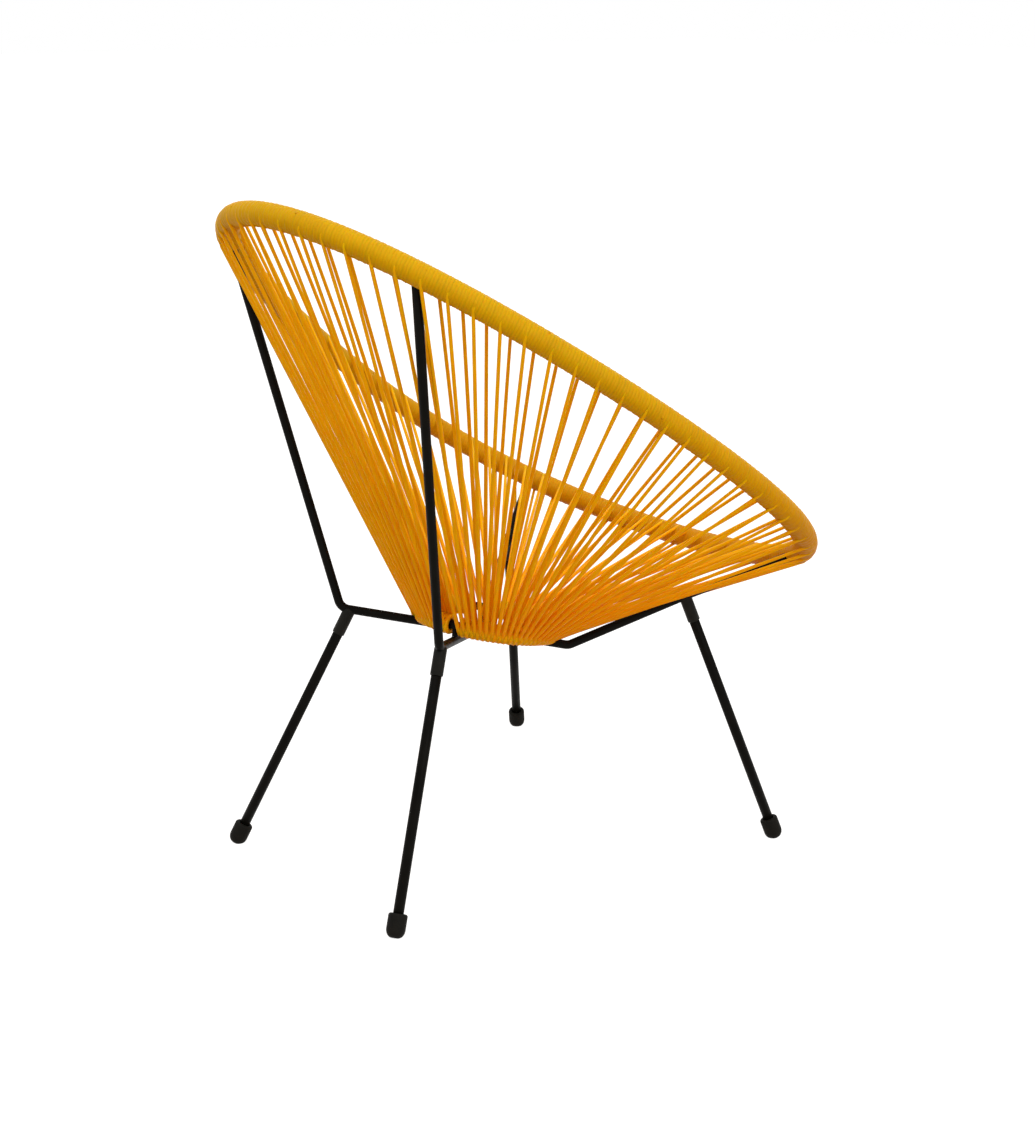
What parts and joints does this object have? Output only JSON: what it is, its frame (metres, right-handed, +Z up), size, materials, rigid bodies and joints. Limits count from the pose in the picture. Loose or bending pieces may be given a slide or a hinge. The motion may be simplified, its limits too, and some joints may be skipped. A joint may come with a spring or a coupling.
{
  "type": "acapulco chair",
  "caption": "Lounge chair with an egg-shaped ring, a cone-like seat of straight taut cords down to a small inner ring, two crossing bent rods and four plug-in legs.",
  "frame": {"origin": "on the floor, at the centre of the chair's overall width and depth", "axes": "+Z up, -Y the way the sitter faces, +X to the sitter's left"},
  "size_m": [0.7878, 0.7196, 0.8697],
  "materials": {
    "frame": "satin",
    "cord": "gloss",
    "rubber": "matte"
  },
  "bodies": {
    "root": {"cord_sector_01": "cord", "cord_sector_02": "cord", "cord_sector_03": "cord", "cord_sector_04": "cord", "cord_sector_05": "cord", "cord_sector_06": "cord", "cord_sector_07": "cord", "cord_sector_08": "cord", "cord_sector_09": "cord", "cord_sector_10": "cord", "cord_sector_11": "cord", "cord_sector_12": "cord", "cord_sector_13": "cord", "cord_sector_14": "cord", "cord_sector_15": "cord", "cord_sector_16": "cord", "cord_sector_17": "cord", "foot_cap_back_left": "rubber", "foot_cap_back_right": "rubber", "foot_cap_front_left": "rubber", "foot_cap_front_right": "rubber", "frame_rod_lower": "frame", "frame_rod_upper": "frame", "inner_ring": "frame", "inner_ring_stub": "frame", "leg_back_left": "frame", "leg_back_right": "frame", "leg_front_left": "frame", "leg_front_right": "frame", "leg_socket_back_left": "frame", "leg_socket_back_right": "frame", "leg_socket_front_left": "frame", "leg_socket_front_right": "frame", "seat_ring_tube": "frame"}
  },
  "joints": []
}
